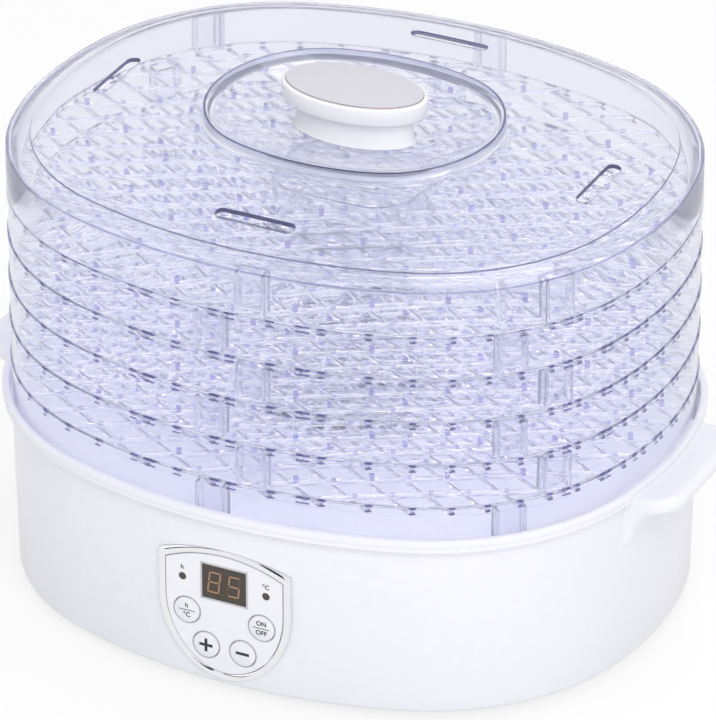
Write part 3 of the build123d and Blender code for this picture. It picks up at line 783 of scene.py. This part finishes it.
# Knob: waisted neck under a rounded cap, with a pale insert in the top
CAP_BOTTOM = knob_high.z - 9.2 * MM
NECK_INSET = 6.5 * MM
INSERT_INSET = 1.7 * MM
bm = bmesh.new()
profile = [
    (NECK_INSET - 1.2 * MM, knob_low.z),
    (NECK_INSET, knob_low.z + 2.5 * MM),
    (NECK_INSET, CAP_BOTTOM - 2.5 * MM),
    (NECK_INSET - 1.2 * MM, CAP_BOTTOM - 0.8 * MM),
    (NECK_INSET - 3.5 * MM, CAP_BOTTOM),
    (1.2 * MM, CAP_BOTTOM + 0.2 * MM),
    (0.35 * MM, CAP_BOTTOM + 0.8 * MM),
    (0, CAP_BOTTOM + 1.8 * MM),
    (0, knob_high.z - 1.2 * MM),
    (0.2 * MM, knob_high.z - 0.5 * MM),
    (0.6 * MM, knob_high.z - 0.1 * MM),
    (1.1 * MM, knob_high.z),
    (INSERT_INSET, knob_high.z),
]
loft(bm, [knob.loop(inset, level) for inset, level in profile])
piece("knob_body", bm, "lid", (knob_white_painted_light,), ("lid_knob",))
bm = bmesh.new()
profile = [
    (INSERT_INSET, insert_low.z),
    (INSERT_INSET, insert_high.z - 0.35 * MM),
    (2.0 * MM, insert_high.z - 0.05 * MM),
    (2.3 * MM, insert_high.z),
]
rows = loft(bm, [knob.loop(inset, level) for inset, level in profile])
paint_band(bm, rows, 1, 1)
piece("knob_insert_plate", bm, "lid", (insert_plastic, insert_edge), ("knob_insert",))

# Base housing: drafted wall with rounded edges, beaded rim, deck with the outlet opening
SEAT_LEVEL = RIM_TOP - 7.3 * MM
DECK_UNDERSIDE = SEAT_LEVEL - 2.5 * MM
OUTLET_RADIUS = 52 * MM
PANEL_CUT_FRONT = PANEL_FRONT - 5 * MM
PANEL_CUT_BACK = PANEL_FRONT + 18 * MM
GLAND_LEVEL = 24 * MM
GLAND_HOLE = (12.6 * MM, 30 * MM, 9.6 * MM)

# Millimetres of inset and level round the wall, from its foot over the rim to the seat of the trays
BASE_DRAFT = 2.0
BASE_WALL = 2.5
wall_profile = [
    (BASE_DRAFT + BASE_WALL, FOOT_HEIGHT / MM + 0.5),
    (BASE_DRAFT + 2.0, FOOT_HEIGHT / MM),
    (BASE_DRAFT + 1.3, FOOT_HEIGHT / MM + 0.1),
    (BASE_DRAFT + 0.5, FOOT_HEIGHT / MM + 0.8),
    (BASE_DRAFT, FOOT_HEIGHT / MM + 2.2),
    (0.25, 88.0),
    (0.1, 90.5),
    (-0.5, 92.2),
    (-1.8, 93.6),
    (-3.2, 94.2),
    (-3.8, 94.7),
    (-4.0, 95.3),
    (-3.95, 96.3),
    (-3.7, 96.7),
    (-3.75, 97.1),
    (-4.3, 97.6),
    (-4.5, 98.5),
    (-4.4, 99.6),
    (-4.0, 100.5),
    (-3.2, 100.95),
    (-2.0, 101.0),
    (-1.1, 100.8),
    (-0.7, 100.2),
    (-0.6, SEAT_LEVEL / MM + 0.4),
    (-0.3, SEAT_LEVEL / MM),
]
bm = bmesh.new()
loops = [stack.loop(inset * MM, level * MM) for inset, level in wall_profile]
loops.append(stack.disc(OUTLET_RADIUS, SEAT_LEVEL))
loops.append(stack.disc(OUTLET_RADIUS, DECK_UNDERSIDE))
loops.append(stack.loop((BASE_DRAFT + BASE_WALL) * MM, DECK_UNDERSIDE))
loft(bm, loops, ring=True)
base_piece = piece("base_shell", bm, "base", (white_plastic,), ("base_housing", "base_deck"))


def shield(margin, y, steps=20, side_steps=4):
    """Control panel outline: an arched top, straight sides and a half-ellipse below, grown by margin."""
    half = PANEL_HALF_WIDTH + margin
    shoulder = PANEL_SHOULDER + margin
    rise = PANEL_TOP - PANEL_SHOULDER
    radius = (half**2 + rise**2) / (2 * rise)
    centre = shoulder + rise - radius
    spread = math.asin(half / radius)
    loop = []
    for step in range(steps):
        angle = math.pi / 2 + spread - 2 * spread * step / steps
        loop.append(Vector((radius * math.cos(angle), y, centre + radius * math.sin(angle))))
    for step in range(side_steps):
        loop.append(Vector((half, y, shoulder + (PANEL_SIDE - shoulder) * step / side_steps)))
    for step in range(2 * steps):
        angle = -math.pi * step / (2 * steps)
        drop = PANEL_SIDE - PANEL_BOTTOM + margin
        loop.append(Vector((half * math.cos(angle), y, PANEL_SIDE + drop * math.sin(angle))))
    for step in range(side_steps):
        loop.append(Vector((-half, y, PANEL_SIDE + (shoulder - PANEL_SIDE) * step / side_steps)))
    return loop


bm = bmesh.new()
loft(bm, [shield(BEZEL_WIDTH + BEZEL_GAP, y) for y in (PANEL_CUT_FRONT, PANEL_CUT_BACK)])
cut(base_piece, scratch(bm))
bm = bmesh.new()
block(bm, (0, STACK_WIDTH / 2, GLAND_LEVEL), GLAND_HOLE)
cut(base_piece, scratch(bm))

# Handle tabs: rounded outer edge and a scooped underside that runs into the wall
HANDLE_HALF = 40 * MM
HANDLE_CORNER = 14 * MM
HANDLE_ROOT = 158 * MM
handle_section = [
    (158, 98.5),
    (181.5, 98.5),
    (183.8, 98.2),
    (185.5, 97.2),
    (186.4, 95.6),
    (186.5, 94.0),
    (186.1, 92.6),
    (185.0, 91.6),
    (183.0, 91.0),
    (178.5, 89.8),
    (173.0, 87.0),
    (168.5, 82.5),
    (165.5, 77.0),
    (163.9, 72.0),
    (158, 70.0),
]
bm = bmesh.new()
stations = [-1.0, -0.985, -0.95, -0.9, -0.84, -0.77, -0.7, -0.5, 0.0]
stations += [-s for s in stations[-2::-1]]
for side in (-1, 1):
    loops = []
    for share in stations:
        y = share * HANDLE_HALF
        past = max(0.0, abs(y) - (HANDLE_HALF - HANDLE_CORNER))
        short = HANDLE_CORNER - math.sqrt(max(0.0, HANDLE_CORNER**2 - past**2))
        scale = (HANDLE_REACH - short - HANDLE_ROOT) / (HANDLE_REACH - HANDLE_ROOT)
        loop = []
        for x, z in handle_section:
            reach = HANDLE_ROOT + (x * MM - HANDLE_ROOT) * scale
            loop.append(Vector((side * reach, y, z * MM)))
        loops.append(loop)
    loft(bm, loops)
piece("handle_tabs", bm, "base", (white_plastic,))

# Panel bezel: rounded bright frame, in millimetres outward and back from its front
bm = bmesh.new()
bezel_profile = [
    (3.8, 9.5),
    (3.8, 2.2),
    (3.65, 1.2),
    (3.2, 0.45),
    (2.5, 0.05),
    (1.8, 0.0),
    (1.0, 0.15),
    (0.4, 0.5),
    (0.05, 1.0),
    (0.0, 3.0),
    (-1.6, 3.0),
    (-1.6, 9.5),
]
loft(bm, [shield(m * MM, PANEL_FRONT + y * MM) for m, y in bezel_profile], ring=True)
piece("bezel_frame", bm, "base", (chrome,), ("panel_bezel",))


def front_circle(x, y, z, radius, steps):
    """A circle on a face that looks to the front."""
    angles = [2 * math.pi * step / steps for step in range(steps)]
    return [Vector((x + radius * math.cos(a), y, z + radius * math.sin(a))) for a in angles]


def ring_print(bm, x, z, inner, outer, front, depth, steps=40):
    """A flat printed ring on a face that looks to the front."""
    back = front + depth
    corners = ((inner, front), (outer, front), (outer, back), (inner, back))
    loft(bm, [front_circle(x, y, z, radius, steps) for radius, y in corners], ring=True)


def slab(bm, corners, front, depth, material=0):
    """A flat printed shape on a face that looks to the front, from (x, z) corners."""
    loops = [[Vector((x, y, z)) for x, z in corners] for y in (front, front + depth)]
    loft(bm, loops, material=material)


def box_print(bm, x, z, width, height, front, depth, material=0):
    """A flat printed rectangle on a face that looks to the front."""
    w, h = width / 2, height / 2
    slab(bm, [(x - w, z - h), (x + w, z - h), (x + w, z + h), (x - w, z + h)], front, depth, material)


def lettering(name, text, x, z, size, front, body, slot, look):
    """Small printed lettering, as a thin mesh that faces the front."""
    curve = bpy.data.curves.new(name, "FONT")
    curve.body = text
    curve.size = size
    curve.align_x = "CENTER"
    curve.align_y = "CENTER"
    curve.extrude = PRINT_RISE / 2
    curve.offset = PRINT_WEIGHT
    holder = bpy.data.objects.new(name, curve)
    bpy.context.scene.collection.objects.link(holder)
    settled = bpy.context.evaluated_depsgraph_get()
    mesh = bpy.data.meshes.new_from_object(holder.evaluated_get(settled))
    bpy.data.objects.remove(holder)
    mesh.transform(Matrix.Translation((x, front, z)) @ Matrix.Rotation(math.pi / 2, 4, "X"))
    mesh.materials.clear()
    mesh.materials.append(look)
    return place(name, mesh, body)


# Display: dark lens with a grey surround and two digits of seven segments
window_low, window_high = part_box("display_window")
window_x = (window_low.x + window_high.x) / 2
window_z = (window_low.z + window_high.z) / 2
window_width = window_high.x - window_low.x
window_height = window_high.z - window_low.z
SURROUND = 1.0 * MM
bm = bmesh.new()
for x, z, width, height in (
    (window_x, window_high.z + SURROUND / 2, window_width + 2 * SURROUND, SURROUND),
    (window_x, window_low.z - SURROUND / 2, window_width + 2 * SURROUND, SURROUND),
    (window_low.x - SURROUND / 2, window_z, SURROUND, window_height),
    (window_high.x + SURROUND / 2, window_z, SURROUND, window_height),
):
    box_print(bm, x, z, width, height, PRINT_FRONT, PRINT_RISE)
piece("display_surround", bm, "base", (surround_grey,))

DIGIT_WIDTH = 6.4 * MM
DIGIT_HEIGHT = 11.5 * MM
SEGMENT = 0.8 * MM
SLANT = 0.12
DIGIT_OFFSET = 5.2 * MM
POINT_OFFSETS = (-0.4 * MM, 10.0 * MM)
segment_sets = {"8": "abcdefg", "5": "afgcd"}


def digit(bm, shape, x, z, front):
    """One slanted digit of seven segments: the lit ones take the first finish, the rest the second."""
    w, h, t = DIGIT_WIDTH, DIGIT_HEIGHT, SEGMENT
    spans = {
        "a": (0, h / 2 - t / 2, w - 2 * t, t),
        "g": (0, 0, w - 2 * t, t),
        "d": (0, t / 2 - h / 2, w - 2 * t, t),
        "f": (t / 2 - w / 2, h / 4, t, h / 2 - t),
        "b": (w / 2 - t / 2, h / 4, t, h / 2 - t),
        "e": (t / 2 - w / 2, -h / 4, t, h / 2 - t),
        "c": (w / 2 - t / 2, -h / 4, t, h / 2 - t),
    }
    for segment, (sx, sz, sw, sh) in spans.items():
        corners = [(-sw / 2, -sh / 2), (sw / 2, -sh / 2), (sw / 2, sh / 2), (-sw / 2, sh / 2)]
        flat = []
        for cx, cz in corners:
            flat.append((x + sx + cx + SLANT * (sz + cz), z + sz + cz))
        slab(bm, flat, front, PRINT_RISE, 0 if segment in segment_sets[shape] else 1)


bm = bmesh.new()
lens_front = window_low.y - PRINT_RISE
digit(bm, "8", window_x - DIGIT_OFFSET, window_z, lens_front)
digit(bm, "5", window_x + DIGIT_OFFSET, window_z, lens_front)
point_z = window_z - DIGIT_HEIGHT / 2 + SEGMENT / 2
for offset in POINT_OFFSETS:
    box_print(bm, window_x + offset, point_z, SEGMENT, SEGMENT, lens_front, PRINT_RISE, 1)
piece("display_digits", bm, "base", (segment_lit, segment_dim))

# Buttons: round caps with a softened edge, printed rings on the plate and marks on the caps
BUTTON_EDGE = 0.35 * MM
BUTTON_EDGE_SHARE = 0.3
BUTTON_DEPTH = 4.0 * MM
BUTTON_STEPS = 48
PRINT_RING = (0.35 * MM, 0.8 * MM)
MARK_LENGTH = 7.0 * MM
MARK_WIDTH = 1.5 * MM
LETTER_SIZE = 3.4 * MM
WORD_OFFSET = 2.5 * MM
WORD_LINE = (8.5 * MM, 0.45 * MM)
LAMP_MARK_X = 22 * MM
LAMP_MARK_Z = 64.2 * MM
button_words = {"button_mode": ("h", "°C"), "button_start": ("ON", "OFF")}
for name in ("button_mode", "button_start", "button_plus", "button_minus"):
    low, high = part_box(name)
    x = (low.x + high.x) / 2
    z = (low.z + high.z) / 2
    cap_profile = (
        (BUTTON_RADIUS, low.y + BUTTON_DEPTH),
        (BUTTON_RADIUS, low.y + BUTTON_EDGE),
        (BUTTON_RADIUS - BUTTON_EDGE_SHARE * BUTTON_EDGE, low.y + BUTTON_EDGE_SHARE * BUTTON_EDGE),
        (BUTTON_RADIUS - BUTTON_EDGE, low.y),
    )
    bm = bmesh.new()
    loft(bm, [front_circle(x, y, z, radius, BUTTON_STEPS) for radius, y in cap_profile])
    piece(f"{name}_cap", bm, name, (button_white,), (name,))
    bm = bmesh.new()
    inner, outer = (BUTTON_RADIUS + margin for margin in PRINT_RING)
    ring_print(bm, x, z, inner, outer, PRINT_FRONT, PRINT_RISE)
    piece(f"{name}_ring", bm, "base", (print_grey,))
    mark_front = low.y - PRINT_RISE
    if name in button_words:
        upper, lower = button_words[name]
        for part, word, offset in (("upper", upper, WORD_OFFSET), ("lower", lower, -WORD_OFFSET)):
            spot = (x, z + offset, LETTER_SIZE, mark_front)
            lettering(f"{name}_{part}", word, *spot, name, "button_plastic", print_dark)
        bm = bmesh.new()
        box_print(bm, x, z, *WORD_LINE, mark_front, PRINT_RISE)
        piece(f"{name}_line", bm, name, (print_line,))
    else:
        bm = bmesh.new()
        box_print(bm, x, z, MARK_LENGTH, MARK_WIDTH, mark_front, PRINT_RISE)
        if name == "button_plus":
            arm = (MARK_LENGTH - MARK_WIDTH) / 2
            for offset in ((MARK_WIDTH + arm) / 2, -(MARK_WIDTH + arm) / 2):
                box_print(bm, x, z + offset, MARK_WIDTH, arm, mark_front, PRINT_RISE)
        piece(f"{name}_mark", bm, name, (print_dark,))
for side, word, x in (("left", "h", -LAMP_MARK_X), ("right", "°C", LAMP_MARK_X)):
    spot = (x, LAMP_MARK_Z, LETTER_SIZE, PRINT_FRONT)
    lettering(f"lamp_mark_{side}", word, *spot, "base", "panel_plastic", print_dark)

# Screw heads: four under the cover and two under the knob
SCREW_STEPS = 24
SCREW_PROFILE = ((1.0, -0.3 * MM), (1.0, 0.5 * MM), (0.8, 1.0 * MM))
SCREW_HEAD = 1.0 * MM
CROSS_LENGTH = 1.1
CROSS_WIDTH = 0.25
CROSS_THICK = 0.06 * MM
COVER_SCREW_X = 118 * MM
COVER_SCREW_Y = 60 * MM
COVER_SCREW_RADIUS = 3.4 * MM
KNOB_SCREW_X = 18 * MM
KNOB_SCREW_RADIUS = 3.0 * MM


def screw(bm, x, y, level, radius):
    """A screw head that hangs under a level face, with a dark cross."""
    loops = []
    for share, depth in SCREW_PROFILE:
        reach = share * radius
        loop = []
        for step in range(SCREW_STEPS):
            angle = 2 * math.pi * step / SCREW_STEPS
            loop.append(Vector((x + reach * math.cos(angle), y + reach * math.sin(angle), level - depth)))
        loops.append(loop)
    loft(bm, loops)
    cross = (radius * CROSS_LENGTH, radius * CROSS_WIDTH, CROSS_THICK)
    for turn in (0.0, math.pi / 2):
        block(bm, (x, y, level - SCREW_HEAD), cross, turn, 1)


bm = bmesh.new()
cover_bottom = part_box("bottom_cover")[0].z
for x in (-COVER_SCREW_X, COVER_SCREW_X):
    for y in (-COVER_SCREW_Y, COVER_SCREW_Y):
        screw(bm, x, y, cover_bottom, COVER_SCREW_RADIUS)
piece("cover_screws", bm, "base", (screw_steel, screw_dark))
bm = bmesh.new()
for x in (-KNOB_SCREW_X, KNOB_SCREW_X):
    screw(bm, x, 0, DISH_FLOOR - LID_WALL, KNOB_SCREW_RADIUS)
piece("knob_screws", bm, "lid", (screw_steel, screw_dark))


def maths(tree, operation, first, second):
    """A Math node on two inputs, each a socket or a number."""
    node = tree.nodes.new("ShaderNodeMath")
    node.operation = operation
    for target, value in zip(node.inputs, (first, second)):
        if isinstance(value, float):
            target.default_value = value
        else:
            link(tree, value, target)
    return node.outputs["Value"]


def seen_straight(tree, share):
    """The share of a white background that the eye sees, also in gloss and through clear plastic."""
    path = tree.nodes.new("ShaderNodeLightPath")
    seen = maths(tree, "MAXIMUM", path.outputs["Is Camera Ray"], path.outputs["Is Glossy Ray"])
    seen = maths(tree, "MAXIMUM", seen, path.outputs["Is Transmission Ray"])
    direct = maths(tree, "LESS_THAN", path.outputs["Diffuse Depth"], 0.5)
    return maths(tree, "MULTIPLY", maths(tree, "MULTIPLY", seen, direct), share)


# Stage: a plain pale floor
FLOOR_HALF = 6
FLOOR_WHITE = 0.8
floor_mesh = bpy.data.meshes.new("floor")
floor_corners = [(x * FLOOR_HALF, y * FLOOR_HALF, 0) for x, y in ((-1, -1), (1, -1), (1, 1), (-1, 1))]
floor_mesh.from_pydata(floor_corners, [], [(0, 1, 2, 3)])
floor = bpy.data.objects.new("floor", floor_mesh)
bpy.context.scene.collection.objects.link(floor)
floor_look, tree = sheet_of_nodes("floor")
_, spread = grain(tree, 3.0, 0.8, 0.9)
matte = tree.nodes.new("ShaderNodeBsdfPrincipled")
matte.inputs["Base Color"].default_value = (0.93, 0.93, 0.94, 1)
glow = tree.nodes.new("ShaderNodeEmission")
glow.inputs["Color"].default_value = (1, 1, 1, 1)
glow.inputs["Strength"].default_value = 1.0
pick = tree.nodes.new("ShaderNodeMixShader")
out = tree.nodes.new("ShaderNodeOutputMaterial")
link(tree, spread.outputs["Result"], matte.inputs["Roughness"])
link(tree, seen_straight(tree, FLOOR_WHITE), pick.inputs["Fac"])
link(tree, matte.outputs["BSDF"], pick.inputs[1])
link(tree, glow.outputs["Emission"], pick.inputs[2])
link(tree, pick.outputs["Shader"], out.inputs["Surface"])
floor_mesh.materials.append(floor_look)

# Light: a pale surround, white where the eye sees it, and soft lamps
SKY_COLOUR = (0.97, 0.97, 1.0, 1)
SKY_LIGHT = 0.67
SKY_WHITE = 1.0
world = bpy.data.worlds.new("studio")
bpy.context.scene.world = world
world.use_nodes = True
tree = world.node_tree
sky = tree.nodes["Background"]
sky.inputs["Color"].default_value = SKY_COLOUR
sky.inputs["Strength"].default_value = SKY_LIGHT
white = tree.nodes.new("ShaderNodeBackground")
white.inputs["Color"].default_value = SKY_COLOUR
white.inputs["Strength"].default_value = 1.0
pick = tree.nodes.new("ShaderNodeMixShader")
link(tree, seen_straight(tree, SKY_WHITE), pick.inputs["Fac"])
link(tree, sky.outputs["Background"], pick.inputs[1])
link(tree, white.outputs["Background"], pick.inputs[2])
link(tree, pick.outputs["Shader"], tree.nodes["World Output"].inputs["Surface"])


def lamp(name, spot, aim, size, power):
    """A rectangular soft lamp at a spot, turned to its aim."""
    light = bpy.data.lights.new(name, "AREA")
    light.shape = "RECTANGLE"
    light.size, light.size_y = size
    light.energy = power
    obj = bpy.data.objects.new(name, light)
    bpy.context.scene.collection.objects.link(obj)
    obj.location = spot
    obj.rotation_euler = (Vector(aim) - Vector(spot)).to_track_quat("-Z", "Y").to_euler()
    return obj


key = lamp("key", (1.1, -1.5, 1.6), (0, 0, 0.12), (1.2, 1.2), 23)
key.visible_glossy = False
lamp("fill", (-1.5, -0.9, 1.0), (0, 0, 0.12), (1.0, 1.2), 1.5)
lamp("back", (0.3, 0.8, 2.3), (0, 0, 0.15), (1.4, 0.8), 11)

# Dark cards that only reflections show, for the streaks in the bright frame round the panel
card_look = solid_look("card", (0.01, 0.01, 0.012), 0.8)
CARD_THICK = 0.002
for name, x, y, low, high, width in (
    ("card_left", -1.02, -1.25, 0.02, 2.60, 0.34),
    ("card_right", 0.02, -1.35, 0.25, 2.80, 0.42),
):
    bm = bmesh.new()
    block(bm, (0, 0, 0), (width, CARD_THICK, high - low))
    card = scratch(bm)
    card.name = name
    card.data.materials.append(card_look)
    card.location = (x, y, (low + high) / 2)
    card.rotation_euler = (0, 0, math.atan2(y, x) + math.pi / 2)
    card.visible_camera = False
    card.visible_diffuse = False
    card.visible_transmission = False
    card.visible_shadow = False

# Camera at the photo's angle
CAMERA_AIM = Vector((0, 0, 111 * MM))
CAMERA_AZIMUTH = math.radians(26.209)
CAMERA_ELEVATION = math.radians(28.909)
CAMERA_DISTANCE = 3.5563
CAMERA_LENS = 369.7
CAMERA_SENSOR = 36
CAMERA_SHIFT = (0.0049, 0.0022)
view = bpy.data.cameras.new("camera")
view.lens = CAMERA_LENS
view.sensor_width = CAMERA_SENSOR
view.shift_x, view.shift_y = CAMERA_SHIFT
eye = bpy.data.objects.new("camera", view)
bpy.context.scene.collection.objects.link(eye)
back = Vector(
    (
        math.sin(CAMERA_AZIMUTH) * math.cos(CAMERA_ELEVATION),
        -math.cos(CAMERA_AZIMUTH) * math.cos(CAMERA_ELEVATION),
        math.sin(CAMERA_ELEVATION),
    )
)
eye.location = CAMERA_AIM + back * CAMERA_DISTANCE
eye.rotation_euler = (-back).to_track_quat("-Z", "Y").to_euler()
bpy.context.scene.camera = eye

# Plain view, and enough bounces for light to pass through five trays and the lid
scene = bpy.context.scene
scene.view_settings.view_transform = "Standard"
scene.cycles.max_bounces = 48
scene.cycles.transmission_bounces = 44
scene.cycles.transparent_max_bounces = 64
scene.cycles.glossy_bounces = 6
scene.cycles.diffuse_bounces = 3
